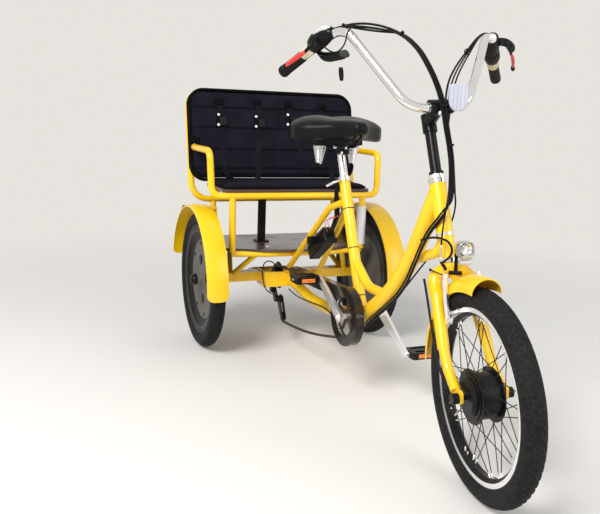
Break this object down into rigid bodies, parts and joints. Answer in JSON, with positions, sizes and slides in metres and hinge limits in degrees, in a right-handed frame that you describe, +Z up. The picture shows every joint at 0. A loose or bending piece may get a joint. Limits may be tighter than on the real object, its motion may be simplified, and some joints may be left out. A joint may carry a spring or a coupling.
{
  "type": "electric tricycle with a passenger bench",
  "caption": "Pedal tricycle with a hub motor in the front wheel, a low step-through tube frame, a wide cushioned bench for passengers over the rear axle, and a foot deck.",
  "frame": {"origin": "on the ground, under the middle of the machine's length and width", "axes": "+X forward, +Y to the rider's left, +Z up"},
  "size_m": [1.8647, 0.8124, 1.1549],
  "materials": {
    "yellow_paint": "gloss",
    "chrome": "polished",
    "alloy": "satin",
    "steel": "oiled",
    "black_paint": "satin",
    "black_plastic": "moulded",
    "red_plastic": "gloss",
    "dark_lens": "gloss",
    "orange_lens": "ribbed",
    "pale_lens": "ribbed",
    "lamp": "silver",
    "grip_rubber": "moulded",
    "cable_rubber": "satin",
    "tyre_rubber": "treaded",
    "saddle_cover": "satin",
    "bench_cloth": "woven",
    "film_board": "smooth film"
  },
  "bodies": {
    "frame": {"head_tube": "yellow_paint", "headset": "chrome", "main_tube": "yellow_paint", "seat_tube": "yellow_paint", "frame_brace": "yellow_paint", "seat_stays": "yellow_paint", "chain_stay": "yellow_paint", "seat_post": "chrome", "saddle_frame": "black_paint", "saddle": "saddle_cover", "axle_beam": "yellow_paint", "axle_stubs": "alloy", "mudguard_stays": "yellow_paint", "cassette": "steel", "chain": "steel", "derailleur": "black_plastic", "deck": "film_board", "deck_frame": "yellow_paint", "bench_legs": "yellow_paint", "leg_sleeve": "chrome", "bench_post": "black_paint", "bench_rail": "yellow_paint", "back_frame": "yellow_paint", "back_cushion": "bench_cloth", "seat_frame": "yellow_paint", "seat_board": "film_board", "seat_cushion": "bench_cloth", "seat_straps": "bench_cloth", "rear_mudguards": "yellow_paint", "tail_reflector": "dark_lens", "controller": "black_plastic", "chain_guard": "black_plastic", "frame_cables": "cable_rubber"},
    "steering": {"fork": "yellow_paint", "front_axle": "black_paint", "stem": "black_paint", "handlebar": "chrome", "grips": "grip_rubber", "control_housings": "black_plastic", "brake_levers": "red_plastic", "headlamp": "lamp", "front_reflector": "pale_lens", "front_mudguard": "yellow_paint", "brake_arms": "alloy", "handlebar_cables": "cable_rubber"},
    "front_wheel": {"front_tyre": "tyre_rubber", "front_rim": "black_paint", "front_spokes": "black_paint", "hub_motor": "black_paint"},
    "rear_wheel_right": {"rear_tyre_right": "tyre_rubber", "rear_wheel_right": "black_paint"},
    "rear_wheel_left": {"rear_tyre_left": "tyre_rubber", "rear_wheel_left": "black_paint"},
    "crank": {"crankset": "alloy", "chainring": "steel"},
    "pedal_right": {"pedal_right": "black_plastic", "pedal_reflectors_right": "orange_lens"},
    "pedal_left": {"pedal_left": "black_plastic", "pedal_reflectors_left": "orange_lens"}
  },
  "joints": [
    {"name": "steering_turn", "type": "hinge", "parent": "frame", "child": "steering", "pos_m": [0.4005, 0, 0.732], "axis": [-0.3792, 0, 0.9253], "range_deg": [-45.5, 64.5]},
    {"name": "front_wheel_roll", "type": "hinge", "parent": "steering", "child": "front_wheel", "pos_m": [0.67553, -0.01261, 0.2596], "axis": [0.1527, 0.9863, 0.0626], "continuous": true},
    {"name": "rear_wheel_right_roll", "type": "hinge", "parent": "frame", "child": "rear_wheel_right", "pos_m": [-0.6485, -0.35125, 0.26], "axis": [0, 1, 0], "continuous": true},
    {"name": "rear_wheel_left_roll", "type": "hinge", "parent": "frame", "child": "rear_wheel_left", "pos_m": [-0.6485, 0.35125, 0.26], "axis": [0, 1, 0], "continuous": true},
    {"name": "crank_turn", "type": "hinge", "parent": "frame", "child": "crank", "pos_m": [0.0125, 0, 0.273], "axis": [0, 1, 0], "continuous": true},
    {"name": "pedal_right_turn", "type": "hinge", "parent": "crank", "child": "pedal_right", "pos_m": [-0.12513, 0, 0.36759], "axis": [0, 1, 0], "continuous": true},
    {"name": "pedal_left_turn", "type": "hinge", "parent": "crank", "child": "pedal_left", "pos_m": [0.15013, 0, 0.17841], "axis": [0, 1, 0], "continuous": true}
  ]
}
